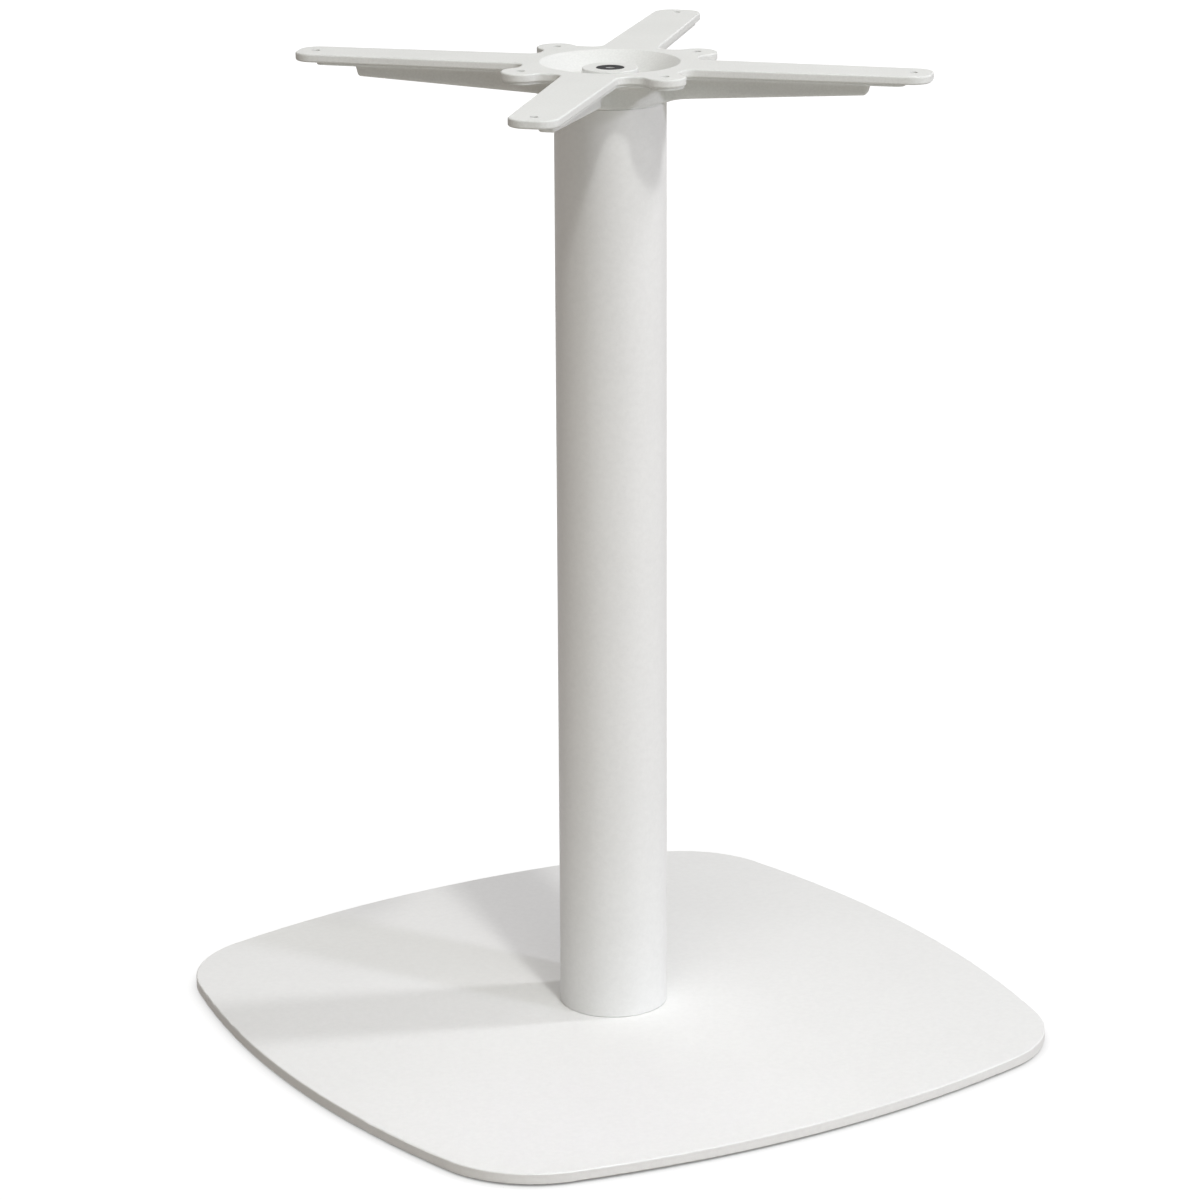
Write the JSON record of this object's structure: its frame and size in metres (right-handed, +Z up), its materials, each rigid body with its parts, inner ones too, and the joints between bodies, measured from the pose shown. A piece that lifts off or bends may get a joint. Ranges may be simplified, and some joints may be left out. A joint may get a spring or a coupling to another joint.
{
  "type": "dining table base",
  "caption": "Pedestal table base with a flat rounded-square floor plate, a round tubular column and a cast cross-shaped spider whose arms and ears take the table top's screws.",
  "frame": {"origin": "on the floor, on the column's axis", "axes": "+Z up along the column; X and Y along the floor plate's sides, so the spider's arms lie on the diagonals"},
  "size_m": [0.55, 0.55, 0.72],
  "materials": {
    "white_coat": "matt white powder coat on steel, fine texture",
    "cast_coat": "matt white powder coat on an aluminium casting, fine texture",
    "black_steel": "black oxide",
    "bare_steel": "zinc plated",
    "glide_nylon": "matt black nylon"
  },
  "bodies": {
    "root": {"base_plate": "white_coat", "column_tube": "white_coat", "column_foot_disc": "bare_steel", "column_head_disc": "bare_steel", "top_spider": "cast_coat", "spider_screw": "black_steel", "plate_screws": "bare_steel", "floor_glide_1": "glide_nylon", "floor_glide_2": "glide_nylon", "floor_glide_3": "glide_nylon", "floor_glide_4": "glide_nylon"}
  },
  "joints": []
}
